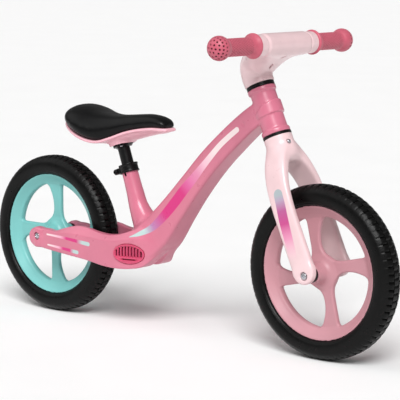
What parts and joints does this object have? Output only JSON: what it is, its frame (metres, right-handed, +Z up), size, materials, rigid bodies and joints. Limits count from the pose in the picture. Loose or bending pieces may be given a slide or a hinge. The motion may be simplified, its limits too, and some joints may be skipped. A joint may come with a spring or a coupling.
{
  "type": "balance bike",
  "caption": "Child's balance bike: cast frame with two rear stays, steered fork and stem, foam-tyred spoked wheels and a saddle on a clamped sliding post.",
  "frame": {"origin": "on the ground midway between the two wheels, in the bike's middle plane", "axes": "+X forward, +Y to the rider's left, +Z up"},
  "size_m": [0.906, 0.361, 0.5344],
  "materials": {
    "black_metal": "black coated steel",
    "black_plastic": "black moulded plastic",
    "dusty_pink": "satin dusty pink moulded rim",
    "frame_pink": "satin pink powder coat with a gradient stripe",
    "grip_rubber": "deep pink moulded rubber",
    "pale_pink": "satin pale pink coat",
    "saddle_cover": "black synthetic cover over foam",
    "saddle_pink": "moulded pink plastic",
    "steel": "bright plated steel",
    "teal": "satin teal moulded rim",
    "tyre_foam": "black foam tyre with block tread",
    "vent_pink": "deep pink moulded insert"
  },
  "bodies": {
    "frame_body": {"frame": "frame_pink", "vent_cover_right": "vent_pink", "vent_cover_left": "vent_pink", "head_bearing_lower": "steel", "head_bearing_upper": "steel", "rear_axle": "steel", "rear_spacer_right": "black_plastic", "rear_axle_bolt_right": "steel", "rear_spacer_left": "black_plastic", "rear_axle_bolt_left": "steel", "seat_clamp": "black_plastic", "seat_clamp_bolt": "black_metal", "seat_clamp_nut": "black_metal"},
    "steering": {"fork": "pale_pink", "steerer_tube": "steel", "head_ring_lower": "black_plastic", "head_ring_upper": "black_plastic", "stem": "pale_pink", "crown_screw": "steel", "stem_screw_1": "black_metal", "stem_screw_2": "black_metal", "handlebar": "steel", "grip_right": "grip_rubber", "grip_left": "grip_rubber", "front_axle": "steel", "front_spacer_right": "black_plastic", "front_axle_bolt_right": "steel", "front_spacer_left": "black_plastic", "front_axle_bolt_left": "steel"},
    "front_wheel": {"front_rim": "dusty_pink", "front_tyre": "tyre_foam", "front_bearing_right": "steel", "front_bearing_left": "steel", "front_hub_sleeve": "steel"},
    "rear_wheel": {"rear_rim": "teal", "rear_tyre": "tyre_foam", "rear_bearing_right": "steel", "rear_bearing_left": "steel", "rear_hub_sleeve": "steel"},
    "seat": {"saddle_cushion": "saddle_cover", "saddle_base": "saddle_pink", "seat_post": "black_metal", "saddle_screw_1": "steel", "saddle_screw_2": "steel", "saddle_screw_3": "steel"}
  },
  "joints": [
    {"name": "steering_turn", "type": "hinge", "parent": "frame_body", "child": "steering", "pos_m": [0.19281, 0, 0.40131], "axis": [-0.4099, 0, 0.9121], "continuous": true},
    {"name": "front_wheel_spin", "type": "hinge", "parent": "steering", "child": "front_wheel", "pos_m": [0.308, 0, 0.145], "axis": [0, 1, 0], "continuous": true},
    {"name": "rear_wheel_spin", "type": "hinge", "parent": "frame_body", "child": "rear_wheel", "pos_m": [-0.308, 0, 0.145], "axis": [0, 1, 0], "continuous": true},
    {"name": "seat_height", "type": "slide", "parent": "frame_body", "child": "seat", "axis": [-0.3338, 0, 0.9426], "range_m": [-0.02, 0.045]}
  ]
}
